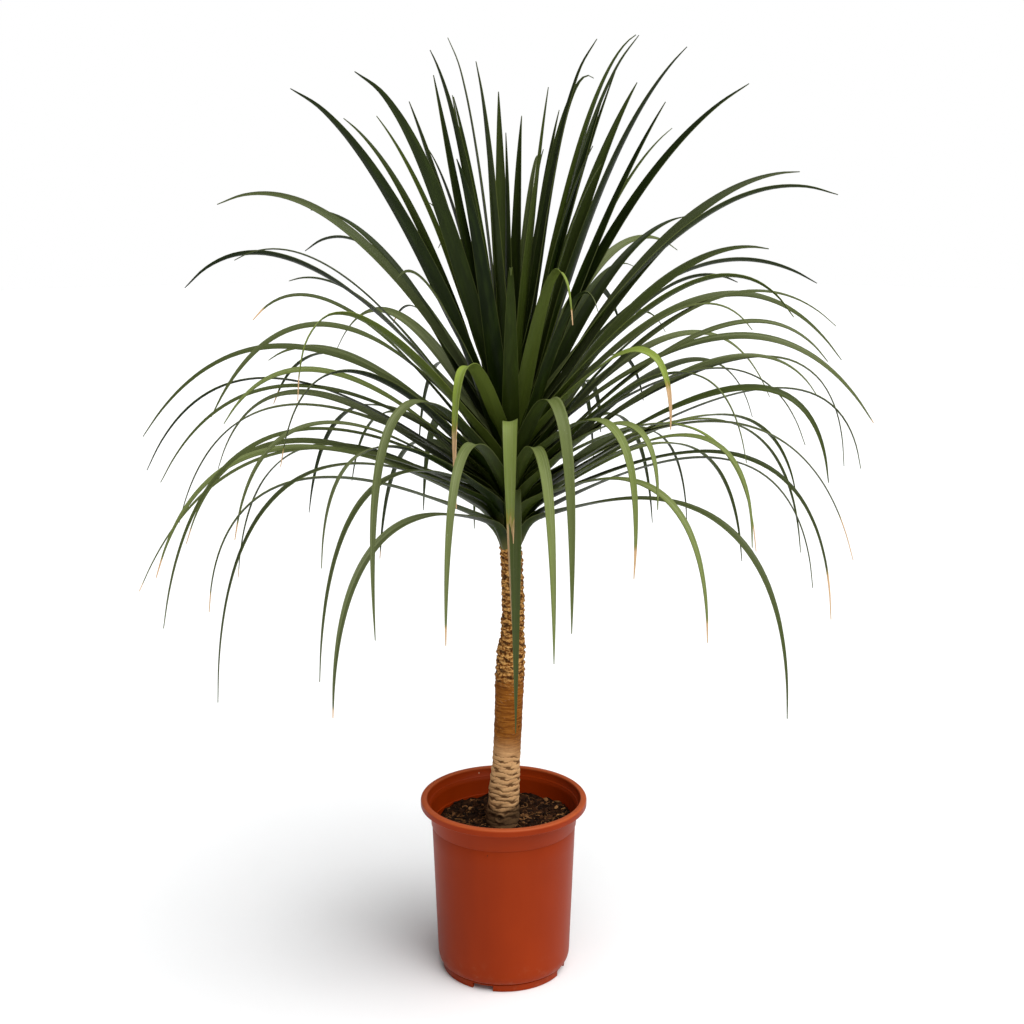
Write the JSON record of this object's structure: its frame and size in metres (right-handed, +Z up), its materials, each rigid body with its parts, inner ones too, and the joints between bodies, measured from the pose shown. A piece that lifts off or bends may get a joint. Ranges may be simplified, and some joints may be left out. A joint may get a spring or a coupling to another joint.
{
  "type": "potted dragon tree",
  "caption": "House plant with one bare trunk and a rosette of long arching strap leaves, planted in a tapered plastic nursery pot.",
  "frame": {"origin": "centre of the pot's foot, on the surface that the pot stands on", "axes": "+Z up along the trunk, -Y towards the side with the hanging front leaves"},
  "size_m": [0.8694, 0.6484, 1.1602],
  "materials": {
    "pot": "satin injection-moulded polypropylene, terracotta colour, lightly scuffed",
    "potting_mix": null,
    "trunk": "dry bark ringed with leaf scars, scaly towards the crown",
    "leaves": null
  },
  "bodies": {
    "root": {"pot": "pot", "potting_mix": "potting_mix", "trunk": "trunk", "leaf_01": "leaves", "leaf_02": "leaves", "leaf_03": "leaves", "leaf_04": "leaves", "leaf_05": "leaves", "leaf_06": "leaves", "leaf_07": "leaves", "leaf_08": "leaves", "leaf_09": "leaves", "leaf_10": "leaves", "leaf_11": "leaves", "leaf_12": "leaves", "leaf_13": "leaves", "leaf_14": "leaves", "leaf_15": "leaves", "leaf_16": "leaves", "leaf_17": "leaves", "leaf_18": "leaves", "leaf_19": "leaves", "leaf_20": "leaves", "leaf_21": "leaves", "leaf_22": "leaves", "leaf_23": "leaves", "leaf_24": "leaves", "leaf_25": "leaves", "leaf_26": "leaves", "leaf_27": "leaves", "leaf_28": "leaves", "leaf_29": "leaves", "leaf_30": "leaves", "leaf_31": "leaves", "leaf_32": "leaves", "leaf_33": "leaves", "leaf_34": "leaves", "leaf_35": "leaves", "leaf_36": "leaves", "leaf_37": "leaves", "leaf_38": "leaves", "leaf_39": "leaves", "leaf_40": "leaves", "leaf_41": "leaves", "leaf_42": "leaves", "leaf_43": "leaves", "leaf_44": "leaves", "leaf_45": "leaves", "leaf_46": "leaves", "leaf_47": "leaves", "leaf_48": "leaves", "leaf_49": "leaves", "leaf_50": "leaves", "leaf_51": "leaves", "leaf_52": "leaves", "leaf_53": "leaves", "leaf_54": "leaves", "leaf_55": "leaves", "leaf_56": "leaves"}
  },
  "joints": []
}
